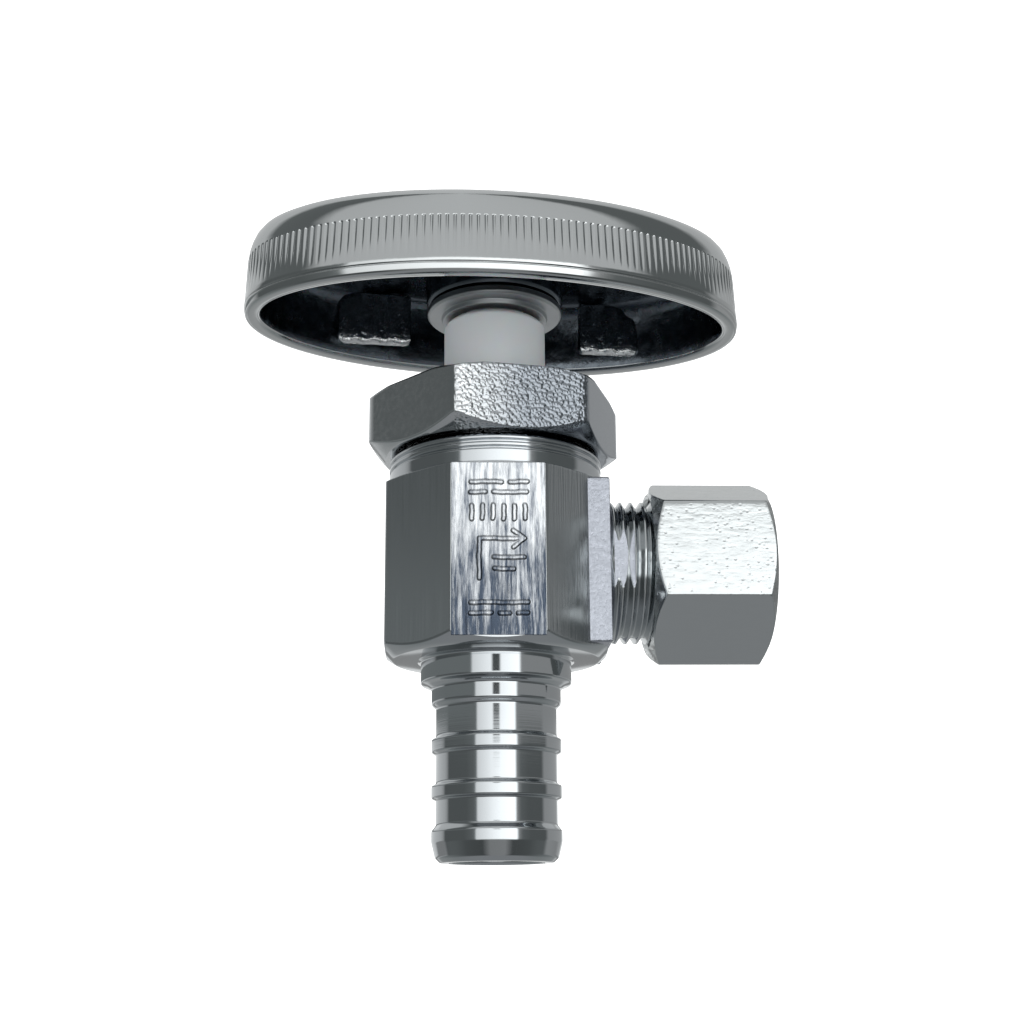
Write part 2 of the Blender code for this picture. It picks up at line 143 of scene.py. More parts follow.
def upright(radius, height, angles):
    """Points of radius and height arrays standing on +Z."""
    return np.stack([radius * np.cos(angles), radius * np.sin(angles), height], axis=-1)


def srgb(code):
    """Linear RGBA from a hex sRGB colour."""
    values = np.array([int(code[k : k + 2], 16) for k in (1, 3, 5)]) / 255
    linear = np.where(values <= 0.04045, values / 12.92, ((values + 0.055) / 1.055) ** 2.4)
    return (*linear.tolist(), 1.0)


def add(tree, kind, links=None, **settings):
    """Add a node. A setting named for an input sets it, and links joins sockets to inputs."""
    node = tree.nodes.new("ShaderNode" + kind)
    for key, value in settings.items():
        if hasattr(node, key):
            setattr(node, key, value)
        else:
            node.inputs[key.replace("_", " ")].default_value = value
    for key, socket in (links or {}).items():
        tree.links.new(socket, node.inputs[key])
    return node


def finish_material(name, colour, **settings):
    """A Principled material with its constants set on the shader's own sockets."""
    made = bpy.data.materials.new(name)
    made.use_nodes = True
    shader = made.node_tree.nodes["Principled BSDF"]
    shader.inputs["Base Color"].default_value = srgb(colour)
    for key, value in settings.items():
        shader.inputs[key.replace("_", " ")].default_value = value
    return made, made.node_tree, shader


def grain(tree, shader, scale, stretch=(1, 1, 1), depth=0.02, spread=(0.08, 0.16), detail=4.0):
    """Noise of the given size in millimetres, as a bump and as a small change of roughness."""
    where = add(tree, "TexCoord")
    size = [1000 / (scale * s) for s in stretch]
    spot = add(tree, "Mapping", {"Vector": where.outputs["Object"]}, Scale=size)
    noise = add(tree, "TexNoise", {"Vector": spot.outputs[0]}, Scale=1.0, Detail=detail)
    bump = add(tree, "Bump", {"Height": noise.outputs["Fac"]}, Strength=1.0, Distance=depth * MM)
    tree.links.new(bump.outputs[0], shader.inputs["Normal"])
    rough = add(
        tree, "MapRange", {"Value": noise.outputs["Fac"]},
        From_Min=0.3, From_Max=0.7, To_Min=spread[0], To_Max=spread[1],
    )  # fmt: skip
    tree.links.new(rough.outputs[0], shader.inputs["Roughness"])
    return noise, bump


# Bright chrome over turned brass: nearly a mirror, with faint tool rings that stretch along
# the cut. The tool rings are drawn 0.12 mm apart.
turned_chrome, tree, shader = finish_material("turned_chrome", "#c9cdcf", Metallic=1.0)
grain(tree, shader, 0.12, (60, 60, 1), depth=0.0012, spread=(0.05, 0.11))

# Chrome over a ground forging: the same plating, with tool rings on the turned ends and, on
# the eight flats, upright grinding lines 0.2 mm apart that smear what they mirror. The lines
# are coarser on the outlet's side, from X 4.5 mm.
ground_chrome, tree, shader = finish_material("ground_chrome", "#c6cacd", Metallic=1.0)
_, ring_bump = grain(tree, shader, 0.12, (60, 60, 1), depth=0.0012)
line_noise, line_bump = grain(
    tree, shader, 0.22, (1, 1, 30), depth=0.016, spread=(0.16, 0.34), detail=3.0
)
where = add(tree, "TexCoord")
place = add(tree, "SeparateXYZ", {"Vector": where.outputs["Object"]})
above = add(
    tree, "MapRange", {"Value": place.outputs["Z"]}, From_Min=20.1 * MM, From_Max=20.4 * MM
)
below = add(
    tree, "MapRange", {"Value": place.outputs["Z"]},
    From_Min=BODY_HEAD * MM, From_Max=(BODY_HEAD - 0.1) * MM,
)  # fmt: skip
flat_part = add(tree, "Math", {0: above.outputs[0], 1: below.outputs[0]}, operation="MULTIPLY")
coarse = add(
    tree, "MapRange", {"Value": place.outputs["X"]},
    From_Min=4.4 * MM, From_Max=4.6 * MM, To_Min=0.3, To_Max=1.0,
)  # fmt: skip
ground = add(tree, "Math", {0: flat_part.outputs[0], 1: coarse.outputs[0]}, operation="MULTIPLY")
tree.links.new(ground.outputs[0], line_bump.inputs["Strength"])
tree.links.new(ring_bump.outputs[0], line_bump.inputs["Normal"])
smear = add(
    tree, "Math", {0: flat_part.outputs[0], 1: line_noise.outputs["Fac"]}, operation="MULTIPLY"
)
rough = add(tree, "MapRange", {"Value": smear.outputs[0]}, From_Max=0.6, To_Min=0.07, To_Max=0.22)
tree.links.new(rough.outputs[0], shader.inputs["Roughness"])

columns = side_columns(8, BODY_CORNER, 22)
eight = flats(columns, 8, BODY_FLATS, BODY_CORNER)
foot_z = BODY_FOOT + (eight - FOOT_R) * FOOT_SLOPE
head_z = BODY_HEAD - np.maximum(eight - HEAD_R, 0) * HEAD_SLOPE
spigot_r, spigot_z = rings(soften(SPIGOT, 0.14), columns)
collar_r, collar_z = rings(soften(COLLAR, 0.1), columns)
milled_r = np.stack([
    eight * 0 + 10.3, eight * 0 + 10.68, eight - 0.08, eight - 0.02, eight, eight, eight, eight,
    eight, eight - 0.02, np.minimum(eight - 0.1, HEAD_R), eight * 0 + 10.76,
])  # fmt: skip
milled_z = np.stack([
    eight * 0 + 19.63, eight * 0 + 19.88, foot_z - 0.05, foot_z, foot_z + 0.06, foot_z + 0.3,
    (foot_z + head_z) / 2, head_z - 0.3, head_z - 0.08, head_z - 0.01, eight * 0 + BODY_HEAD,
    eight * 0 + BODY_HEAD,
])  # fmt: skip
body = skin(
    "valve_body_forging",
    upright(
        np.vstack([spigot_r, milled_r, collar_r]),
        np.vstack([spigot_z, milled_z, collar_z]),
        columns,
    ),
    around=True,
)
body.data.materials.append(ground_chrome)
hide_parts("valve_body")
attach(body, "valve")

# ---------------------------------------------------------------------------
# Front flat
# The one side that is planed after forging. Upright scratches run over it, and plain marks
# stand proud: level bars, a row of upright bars, and an elbow arrow for the flow.
# ---------------------------------------------------------------------------

FRONT_Y = -BODY_FLATS / 2
FACE_HALF = 4.42
FACE_LOW, FACE_HIGH = 20.25, 36.85
MARK_LINES = [
    (-2.6, 34.9, 0.3, 34.9), (1.1, 34.9, 2.7, 34.9), (-2.6, 33.9, -1.2, 33.9),
    (-0.4, 33.9, 2.7, 33.9),
    (-2.5, 31.3, -2.5, 32.6), (-1.5, 31.3, -1.5, 32.6), (-0.5, 31.3, -0.5, 32.6),
    (0.5, 31.3, 0.5, 32.6), (1.5, 31.3, 1.5, 32.6), (2.5, 31.3, 2.5, 32.6),
    (-1.8, 25.6, -1.8, 29.4), (-1.8, 29.4, 2.4, 29.4), (2.4, 29.4, 1.4, 30.2),
    (2.4, 29.4, 1.4, 28.6), (-0.4, 27.6, 2.4, 27.6), (-0.4, 26.5, 1.4, 26.5),
    (-2.6, 23.3, 2.7, 23.3), (-2.6, 22.3, -0.7, 22.3), (0.1, 22.3, 1.0, 22.3),
    (1.8, 22.3, 2.7, 22.3),
]  # fmt: skip
MARK_HALF, MARK_EDGE, MARK_PROUD = 0.3, 0.22, 0.13


def relief(x, z):
    """Height of the marks: a rounded ridge 0.3 mm to each side of every line.

    Height is a smooth step of the distance to the nearest line, and the distance to a line is
    taken at the clamped projection of the point on it.
    """
    nearest = np.full(x.shape, 9.0)
    for x0, z0, x1, z1 in MARK_LINES:
        dx, dz = x1 - x0, z1 - z0
        along = np.clip(((x - x0) * dx + (z - z0) * dz) / (dx * dx + dz * dz), 0, 1)
        nearest = np.minimum(nearest, np.hypot(x - x0 - along * dx, z - z0 - along * dz))
    edge = np.clip((MARK_HALF - nearest) / MARK_EDGE, 0, 1)
    return MARK_PROUD * edge * edge * (3 - 2 * edge)


across = np.linspace(-FACE_HALF, FACE_HALF, 160)[None, :]
upward = np.linspace(FACE_LOW, FACE_HIGH, 290)[:, None]
wobble_x = across + 0.03 * np.sin(upward * 2.1) + 0.015 * np.sin(upward * 6.7 + across)
wobble_z = upward + 0.03 * np.sin(across * 1.7) + 0.015 * np.sin(across * 5.3)
proud = 0.03 + relief(wobble_x, wobble_z) + 0.01 * np.sin(across * 1.3 + 0.8 * np.sin(upward))
sheet_x, sheet_z = np.broadcast_arrays(across, upward)
face_grid = np.stack([sheet_x, FRONT_Y - np.maximum(proud, 0.004), sheet_z], axis=-1)
tiles = np.arange(sheet_x.size).reshape(sheet_x.shape)
face_mesh = bpy.data.meshes.new("front_flat")
quads = np.stack([tiles[:-1, :-1], tiles[:-1, 1:], tiles[1:, 1:], tiles[1:, :-1]], axis=-1)
face_mesh.from_pydata((face_grid.reshape(-1, 3) * MM).tolist(), [], quads.reshape(-1, 4).tolist())
face_mesh.polygons.foreach_set("use_smooth", np.ones(len(face_mesh.polygons), bool))
front_flat = bpy.data.objects.new("front_flat", face_mesh)
bpy.context.scene.collection.objects.link(front_flat)
thick = front_flat.modifiers.new("plate", "SOLIDIFY")
thick.thickness = 0.2 * MM
thick.offset = -1

# Chrome over planed brass: upright scratches 0.16 mm apart. The base colour goes dark and blue in
# streaks
# 0.45 mm wide, most of all near the foot: a painted reflection of the dark surroundings.
planed_chrome, tree, shader = finish_material("planed_chrome", "#c6ccd4", Metallic=1.0)
grain(tree, shader, 0.18, (1, 1, 22), depth=0.02, spread=(0.14, 0.34))
where = add(tree, "TexCoord")
size = [1000 / 0.45, 1000 / 0.45, 1000 / 5.0]
spot = add(tree, "Mapping", {"Vector": where.outputs["Object"]}, Scale=size)
streak = add(tree, "TexNoise", {"Vector": spot.outputs[0]}, Scale=1.0, Detail=7.0, Roughness=0.7)
place = add(tree, "SeparateXYZ", {"Vector": where.outputs["Object"]})
# Painted reflection: the base colour is made darker and bluer toward the foot.
painted_dark_reflection = add(
    tree, "MapRange", {"Value": place.outputs["Z"]},
    From_Min=21 * MM, From_Max=32 * MM, To_Min=-0.13, To_Max=0.04,
)  # fmt: skip
share = add(tree, "Math", {0: streak.outputs["Fac"], 1: painted_dark_reflection.outputs[0]}, operation="ADD")
tint = add(tree, "ValToRGB", {"Fac": share.outputs[0]})
for element, (position, colour) in zip(
    tint.color_ramp.elements, ((0.36, "#4f5968"), (0.6, "#e2e5e8"))
):
    element.position, element.color = position, srgb(colour)
tree.links.new(tint.outputs[0], shader.inputs["Base Color"])
front_flat.data.materials.append(planed_chrome)
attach(front_flat, "valve")

# ---------------------------------------------------------------------------
# Outlet block and thread
# The side of the forging that carries the outlet keeps its blasted skin. The thread is cut
# over it, and where the block is flat the first turns are cut only part of the way round.
# ---------------------------------------------------------------------------

OUTLET_Z = 28.6
BLOCK_HALF_Y = 6.55
BLOCK_END_X = 11.0
BLOCK_LOW_Z, BLOCK_HIGH_Z = 20.4, 36.8
THREAD_R, THREAD_DEPTH, THREAD_PITCH = 7.14, 0.62, 1.058
FLAT_END_X = 13.3


def loft_box(low, high, edge, count=9):
    """A box with rounded ends, as square rings on one another.

    Each ring is a circle pushed out to a square: its cosine and sine over the larger of their
    sizes. The rings shrink by a quarter circle at both ends.
    """
    low, high = np.array(low, float), np.array(high, float)
    middle, half = (low + high) / 2, (high - low) / 2
    angle = np.linspace(0, 2 * np.pi, 256, endpoint=False) + np.pi / 256
    turn = np.linspace(0, np.pi / 2, count)
    c, s = np.cos(angle), np.sin(angle)
    reach = np.maximum(np.abs(c), np.abs(s))
    square_x, square_y = c / reach, s / reach
    inset = edge * (1 - np.sin(turn))
    rise = edge * (1 - np.cos(turn))
    inset = np.r_[inset, 0, 0, inset[::-1]]
    level = np.r_[-half[2] + rise, -half[2] + 2 * edge, half[2] - 2 * edge, half[2] - rise[::-1]]
    x = middle[0] + square_x[None, :] * (half[0] - inset[:, None])
    y = middle[1] + square_y[None, :] * (half[1] - inset[:, None])
    return np.stack([x, y, middle[2] + np.broadcast_to(level[:, None], x.shape)], axis=-1)


block = skin(
    "outlet_block",
    loft_box((7.9, -BLOCK_HALF_Y, BLOCK_LOW_Z), (BLOCK_END_X, BLOCK_HALF_Y, BLOCK_HIGH_Z), 0.25),
)
# Chrome over a blasted forging skin: a satin of grains about 0.25 mm across.
blasted_chrome, tree, shader = finish_material("blasted_chrome", "#b4b8c1", Metallic=1.0)
grain(tree, shader, 0.32, depth=0.08, spread=(0.26, 0.42), detail=6.0)
block.data.materials.append(blasted_chrome)
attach(block, "valve")


def along_x(radius, reach, angles):
    """Points of radius and reach arrays lying on +X, round the outlet's axis.

    An angle of zero points to the front, and a positive one turns upward.
    """
    return np.stack(
        [reach, -radius * np.cos(angles), OUTLET_Z + radius * np.sin(angles)], axis=-1
    )


def helix(start, end, major, depth, pitch, angles, rows, fade=0.7):
    """A cut thread: the radius drops by a triangle wave of (x / pitch - angle / 2 pi)."""
    reach = np.linspace(start, end, rows)[:, None]
    phase = np.mod(reach / pitch - angles[None, :] / (2 * np.pi), 1)
    wave = np.clip(np.abs(phase - 0.5) * 2.6 - 0.2, 0, 1)
    swell = np.clip((reach - start) / fade, 0, 1) * np.clip((end - reach) / fade, 0, 1)
    radius = major - depth * np.where(reach > (start + end) / 2, 1, swell) * wave
    return radius, np.broadcast_to(reach, radius.shape)


angles = np.linspace(0, 2 * np.pi, 216, endpoint=False)
cut_r, cut_x = helix(11.3, 21.1, THREAD_R, THREAD_DEPTH, THREAD_PITCH, angles, 300)
flattened = np.minimum(cut_r, BLOCK_HALF_Y / np.maximum(np.abs(np.cos(angles)), 0.05))
cut_r = np.where(cut_x < FLAT_END_X, flattened, cut_r)
end_r, end_x = rings(
    soften(
        [
            (6.45, 21.12), (6.3, 21.4), (6.2, 21.5), (5.95, 21.5), (4.85, 20.4), (4.85, 15.0),
            (3.1, 14.1), (3.1, 11.2),
        ],
        0.08,
    ),
    angles,
)  # fmt: skip
start_r, start_x = rings([(6.4, 10.0), (6.4, 11.15)], angles)
start_r = np.minimum(start_r, BLOCK_HALF_Y / np.maximum(np.abs(np.cos(angles)), 0.05))
outlet = skin(
    "outlet_thread",
    along_x(np.vstack([start_r, cut_r, end_r]), np.vstack([start_x, cut_x, end_x]), angles),
)
# The flat beside the first turns is the block's own skin, so it has the block's finish.
outlet.data.materials.append(turned_chrome)
outlet.data.materials.append(blasted_chrome)
middles = np.empty(3 * len(outlet.data.polygons))
outlet.data.polygons.foreach_get("center", middles)
middle_x, middle_y, _ = middles.reshape(-1, 3).T / MM
uncut = (np.abs(middle_y) > BLOCK_HALF_Y - 0.01) & (middle_x < FLAT_END_X)
outlet.data.polygons.foreach_set("material_index", uncut.astype(np.int32))
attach(outlet, "valve")

# ---------------------------------------------------------------------------
# Rubber rings
# Moulded nitrile O-rings: one under the bonnet's edge, one round the stem.
# ---------------------------------------------------------------------------

moulded_nitrile, tree, shader = finish_material("moulded_nitrile", "#161616", IOR=1.52)
grain(tree, shader, 0.2, depth=0.004, spread=(0.5, 0.65))


def refinish(material, *nodes):
    """Give CAD nodes that keep their shape a finished material."""
    for node in nodes:
        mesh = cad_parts[node].data
        mesh.materials.clear()
        mesh.materials.append(material)


refinish(moulded_nitrile, "bonnet_o_ring", "stem_o_ring")

# ---------------------------------------------------------------------------
# Bonnet
# A hexagon forged from brass, chamfered on the lathe and screwed into the collar. Its sides
# keep the forging's pebbled skin, and chrome makes the grains glitter.
# ---------------------------------------------------------------------------

BONNET_FLATS = 22.65
BONNET_CORNER = math.radians(-90 - 18.4)
BONNET_LOW, BONNET_HIGH = 40.2, 46.6
# Both ends are chamfered: from this radius outward, by this much in height for each mm.
BONNET_CONE_R, BONNET_CONE_SLOPE = 11.2, 0.7
BONNET_TOP_R, BONNET_TOP_SLOPE = 11.8, 0.43
columns = side_columns(6, BONNET_CORNER, 30)
six = flats(columns, 6, BONNET_FLATS, BONNET_CORNER, round_off=0.12)
lower_z = BONNET_LOW + np.maximum(six - BONNET_CONE_R, 0) * BONNET_CONE_SLOPE
upper_z = BONNET_HIGH - np.maximum(six - BONNET_TOP_R, 0) * BONNET_TOP_SLOPE
shank_r, shank_z = rings(
    soften(
        [
            (5.53, 46.2), (5.53, 46.05), (6.55, 46.05), (6.55, 44.8), (5.53, 44.8),
            (5.53, 44.2), (6.5, 44.2), (6.5, 33.0), (7.7, 33.0), (8.1, 33.4), (8.1, 37.9),
            (7.8, 38.2), (7.8, 40.2), (11.1, 40.2),
        ],
        0.08,
    ),
    columns,
)  # fmt: skip
crown_r, crown_z = rings([(11.2, 46.6), (9.9, 46.6), (6.1, 46.6), (5.93, 46.55)], columns)
cone_r = np.maximum(six - 0.4, BONNET_CONE_R)
cone_z = BONNET_LOW + (cone_r - BONNET_CONE_R) * BONNET_CONE_SLOPE
hex_r = np.stack([
    six * 0 + 11.18, cone_r, np.maximum(six - 0.08, 11.22), six - 0.02, six, six, six, six, six,
    six - 0.03, np.minimum(six - 0.1, BONNET_TOP_R),
])  # fmt: skip
hex_z = np.stack([
    six * 0 + BONNET_LOW, cone_z, lower_z - 0.05, lower_z,
    lower_z + 0.06, lower_z + 0.25, (lower_z + upper_z) / 2, upper_z - 0.25, upper_z - 0.07,
    upper_z - 0.02, six * 0 + BONNET_HIGH,
])  # fmt: skip
bonnet = skin(
    "bonnet_hexagon",
    upright(
        np.vstack([shank_r, hex_r, crown_r]), np.vstack([shank_z, hex_z, crown_z]), columns
    ),
    around=True,
)
# Chrome over a forged skin: pebbles 0.35 mm across, plain where the lathe cut the chamfers,
# and a darker base colour toward the outlet.
pebbled_chrome, tree, shader = finish_material("pebbled_chrome", "#c4c7c9", Metallic=1.0)
_, bump = grain(tree, shader, 0.5, depth=0.03, spread=(0.1, 0.2), detail=3.0)
where = add(tree, "TexCoord")
place = add(tree, "SeparateXYZ", {"Vector": where.outputs["Object"]})
front = add(
    tree, "MapRange", {"Value": place.outputs["Y"]},
    From_Min=-9.2 * MM, From_Max=-9.7 * MM, To_Min=0.03,
)  # fmt: skip
beyond = add(
    tree, "MapRange", {"Value": place.outputs["X"]}, From_Min=-4.25 * MM, From_Max=-4.0 * MM
)
forged = add(tree, "Math", {0: front.outputs[0], 1: beyond.outputs[0]}, operation="MULTIPLY")
tree.links.new(forged.outputs[0], bump.inputs["Strength"])
pebble = add(
    tree, "TexVoronoi", {"Vector": where.outputs["Object"]},
    Scale=1000 / 0.34, feature="SMOOTH_F1", Smoothness=0.35,
)  # fmt: skip
pebble_bump = add(
    tree, "Bump", {"Height": pebble.outputs["Distance"], "Normal": bump.outputs[0]},
    Distance=0.085 * MM, invert=True,
)  # fmt: skip
tree.links.new(forged.outputs[0], pebble_bump.inputs["Strength"])
tree.links.new(pebble_bump.outputs[0], shader.inputs["Normal"])
# The base colour is darker toward the outlet.
darker_toward_outlet = add(
    tree, "MapRange", {"Value": place.outputs["X"]}, From_Min=-3.4 * MM, From_Max=2.5 * MM
)
tint = add(tree, "ValToRGB", {"Fac": darker_toward_outlet.outputs[0]})
for element, colour in zip(tint.color_ramp.elements, ("#d4d7d9", "#979da4")):
    element.color = srgb(colour)
tree.links.new(tint.outputs[0], shader.inputs["Base Color"])
bonnet.data.materials.append(pebbled_chrome)
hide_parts("bonnet")
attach(bonnet, "valve")

# ---------------------------------------------------------------------------
# Stem
# Moulded white acetal, with a turned sealing length, a coarse lifting thread, a square for
# the handle and a button that holds the swivel disc.
# ---------------------------------------------------------------------------

angles = np.linspace(0, 2 * np.pi, 144, endpoint=False)
top_r, top_z = rings(
    soften(
        [(2.8, 55.0), (4.7, 55.0), (5.2, 54.5), (5.2, 43.9), (5.45, 43.85), (5.5, 43.7)], 0.3
    ),
    angles,
)
LIFT_R, LIFT_DEPTH, LIFT_PITCH = 6.15, 0.75, 1.5
lift = np.linspace(43.65, 39.1, 90)[:, None]
phase = np.mod(lift / LIFT_PITCH - angles[None, :] / (2 * np.pi), 1)
lift_r = LIFT_R - LIFT_DEPTH * np.clip(np.abs(phase - 0.5) * 2.6 - 0.2, 0, 1)
foot_r, foot_z = rings(
    soften(
        [
            (4.6, 39.05), (4.4, 38.9), (4.4, 37.25), (2.0, 37.25), (2.0, 35.8), (2.9, 35.8),
            (2.9, 35.3), (1.0, 35.3),
        ],
        0.08,
    ),
    angles,
)  # fmt: skip
HANDLE_TURN = math.radians(6.2)
turned = angles - HANDLE_TURN
SQUARE_HALF, SQUARE_CORNER_R = 2.7, 3.55
square = np.maximum(np.abs(np.cos(turned)), np.abs(np.sin(turned)))
square_r = np.stack([SQUARE_HALF - 0.2, SQUARE_HALF, SQUARE_HALF, SQUARE_HALF])[:, None] / square
square_r[1:] = np.minimum(square_r[1:], SQUARE_CORNER_R)
square_z = np.array([60.6, 60.4, 59.4, 55.05])[:, None] * np.ones_like(angles)
bore_r, bore_z = rings([(0.3, 50.6), (1.8, 51.0), (1.8, 60.3), (2.0, 60.6)], angles)
stem = skin(
    "stem_acetal",
    upright(
        np.vstack([bore_r, square_r, top_r, lift_r, foot_r]),
        np.vstack([bore_z, square_z, top_z, np.broadcast_to(lift, lift_r.shape), foot_z]),
        angles,
    ),
)
# White acetal: waxy, a little see-through, with a fine moulded haze.
moulded_acetal, tree, shader = finish_material(
    "moulded_acetal", "#d8dcdf", IOR=1.48, Subsurface_Weight=0.25, Subsurface_Scale=0.0015
)
grain(tree, shader, 0.5, depth=0.006, spread=(0.34, 0.46))
stem.data.materials.append(moulded_acetal)
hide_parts("stem")
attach(stem, "stem_and_handle")

# ---------------------------------------------------------------------------
# Seat end
# A turned brass disc that swivels on the stem's button, a rubber washer in its cup, and the
# brass screw that holds the washer. All of it is inside the body.
# ---------------------------------------------------------------------------

turned_brass, tree, shader = finish_material("turned_brass", "#c9a04e", Metallic=1.0)
grain(tree, shader, 0.12, (60, 60, 1), depth=0.002, spread=(0.2, 0.32))
refinish(turned_brass, "swivel_disc", "washer_screw", "ferrule")
refinish(moulded_nitrile, "seat_washer")

# ---------------------------------------------------------------------------
# Hub washer
# A stepped steel washer, turned all over, between the stem's shoulder and the handle's hub.
# ---------------------------------------------------------------------------

angles = np.linspace(0, 2 * np.pi, 192, endpoint=False)
washer_r, washer_z = rings(
    soften(
        [
            (4.15, 55.8), (4.15, 56.6), (6.95, 56.6), (6.95, 56.0), (6.75, 55.8), (5.5, 55.8),
            (5.4, 55.3), (4.15, 55.3), (4.15, 55.5),
        ],
        0.1,
    ),
    angles,
)  # fmt: skip
hub_washer = skin("hub_washer_turned", upright(washer_r, washer_z, angles), around=True)
turned_steel, tree, shader = finish_material("turned_steel", "#ced1d3", Metallic=1.0)
grain(tree, shader, 0.1, (40, 40, 1), depth=0.002, spread=(0.34, 0.46))
hub_washer.data.materials.append(turned_steel)
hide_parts("hub_washer")
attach(hub_washer, "stem_and_handle")

# ---------------------------------------------------------------------------
# Handle
# A die-cast zinc shell, oval in plan and open below, polished and chromed. Its band is cut
# with fine upright notches that fade downward, and a round hub and four cast pads stand inside.
# ---------------------------------------------------------------------------

HANDLE_A, HANDLE_B = 25.76, 14.37
FLUTES, PER_FLUTE, FLUTE_DEPTH = 170, 8, 0.15
# Each row is how far the surface lies inside the oval, its height, and its share of flute. The
# first rows are the inside of the shell.
INSIDE_ROWS = 9
SHELL = [
    (18.0, 62.1, 0), (14.0, 62.1, 0), (8.0, 62.08, 0), (5.4, 61.98, 0), (3.9, 61.6, 0),
    (3.0, 61.0, 0), (2.5, 60.1, 0), (2.15, 58.0, 0), (1.9, 55.9, 0), (1.75, 55.1, 0),
    (1.6, 54.78, 0), (1.3, 54.64, 0), (0.6, 54.64, 0), (0.34, 54.68, 0), (0.2, 54.8, 0),
    (0.12, 54.95, 0), (0.03, 55.39, 0), (0.01, 55.47, 0), (0.03, 55.53, 0), (0.15, 55.59, 0),
    (0.16, 55.67, 0), (0.05, 55.73, 0), (0.04, 55.81, 0), (0.07, 56.3, 0), (0.1, 56.7, 0.04),
    (0.15, 57.6, 0.3), (0.2, 58.6, 0.62), (0.24, 59.5, 0.92), (0.27, 60.1, 1), (0.3, 60.5, 1),
    (0.305, 60.56, 1), (0.31, 60.62, 0), (0.32, 60.68, 0), (0.36, 61.0, 0), (0.44, 61.5, 0),
    (0.64, 62.2, 0),
    (0.98, 63.0, 0), (1.5, 63.68, 0), (2.3, 64.18, 0), (3.6, 64.48, 0), (6.6, 64.68, 0),
    (11.0, 64.82, 0), (15.0, 64.95, 0), (19.8, 65.0, 0),
    (21.1, 65.0, 0), (21.3, 64.9, 0), (21.36, 64.6, 0), (21.36, 62.55, 0), (21.6, 62.3, 0),
    (23.7, 62.3, 0),
]  # fmt: skip


def oval_angles(count):
    """Angles that share the oval's edge out evenly, found from its running length."""
    fine = np.linspace(0, 2 * np.pi, 7201)
    step = np.hypot(HANDLE_A * np.sin(fine), HANDLE_B * np.cos(fine))
    run = np.r_[0, np.cumsum((step[1:] + step[:-1]) / 2)]
    return np.interp(np.arange(count) * run[-1] / count, run, fine)


def oval_shell(rows, angles):
    """Rows of ovals that turn into circles inward, swung about +Z by the handle's turn.

    At inset i the half-axes are a - i and b - 3 - 0.38 (i - 3), which meet at the screw's
    recess. Each point is moved in along the oval's normal by a V notch of the flute's depth.
    """
    rows = np.asarray(rows, float)
    inset, height, share = (rows[:, k : k + 1] for k in range(3))
    half_a = HANDLE_A - inset
    half_b = np.where(inset < 3, HANDLE_B - inset, HANDLE_B - 3 - (inset - 3) * 6.97 / 18.36)
    x, y = half_a * np.cos(angles), half_b * np.sin(angles)
    nx, ny = np.cos(angles) / HANDLE_A, np.sin(angles) / HANDLE_B
    size = np.hypot(nx, ny)
    along = np.abs(np.mod(np.arange(len(angles)) / PER_FLUTE + 0.5, 1) - 0.5)
    deep = share * FLUTE_DEPTH * np.clip(1 - along / 0.24, 0, 1)
    grid = np.stack([x - nx / size * deep, y - ny / size * deep, height + 0 * x], axis=-1)
    return swing(grid)


def swing(grid):
    """Turn points about +Z by the angle at which the handle rests."""
    c, s = math.cos(HANDLE_TURN), math.sin(HANDLE_TURN)
    return grid @ np.array([[c, s, 0], [-s, c, 0], [0, 0, 1]])


handle = skin("handle_shell", oval_shell(SHELL, oval_angles(FLUTES * PER_FLUTE)))
# Polished chrome over die-cast zinc: the brightest finish here, with a slight soft waviness.
# Inside, the casting isn't polished, and the chrome there is given a dark base colour: painted
# shade in the hollow of the shell.
polished_chrome, tree, shader = finish_material("polished_chrome", "#cdd0d1", Metallic=1.0)
grain(tree, shader, 2.5, depth=0.012, spread=(0.05, 0.1), detail=2.0)
inside_painted_shade_chrome, tree, shader = finish_material("inside_painted_shade_chrome", "#6d747b", Metallic=1.0)
grain(tree, shader, 1.2, depth=0.05, spread=(0.12, 0.3), detail=4.0)
handle.data.materials.append(polished_chrome)
handle.data.materials.append(inside_painted_shade_chrome)
inside = np.arange(len(handle.data.polygons)) < INSIDE_ROWS * FLUTES * PER_FLUTE
handle.data.polygons.foreach_set("material_index", inside.astype(np.int32))
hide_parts("handle")
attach(handle, "stem_and_handle")

hub_r, hub_z = rings(
    soften(
        [
            (4.1, 62.0), (4.1, 57.2), (4.3, 56.9), (6.8, 56.9), (7.05, 57.2), (7.2, 60.0),
            (7.6, 61.5), (8.2, 62.2), (6.0, 62.2), (4.1, 62.2),
        ],
        0.2,
    ),
    angles,
)  # fmt: skip
hub = skin("handle_hub", upright(hub_r, hub_z, angles), around=True)
# The hub takes the darker inside chrome, painted shade in the hollow of the shell.
hub.data.materials.append(inside_painted_shade_chrome)
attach(hub, "stem_and_handle")

# Rough cast pads inside the shell. Their lower ends are given a brighter base colour, a painted
# highlight, and the parts higher in the shell a darker one, painted shade.
cast_chrome, tree, shader = finish_material("cast_chrome", "#c9cdd0", Metallic=1.0)
grain(tree, shader, 0.55, depth=0.14, spread=(0.12, 0.28), detail=5.0)
where = add(tree, "TexCoord")
place = add(tree, "SeparateXYZ", {"Vector": where.outputs["Object"]})
height = add(
    tree, "MapRange", {"Value": place.outputs["Z"]}, From_Min=56.3 * MM, From_Max=57.1 * MM
)
# Painted highlight at the pads' lower ends and painted shade above them.
tint = add(tree, "ValToRGB", {"Fac": height.outputs[0]})
for element, colour in zip(tint.color_ramp.elements, ("#f0f2f3", "#7b8289")):
    element.color = srgb(colour)
tree.links.new(tint.outputs[0], shader.inputs["Base Color"])
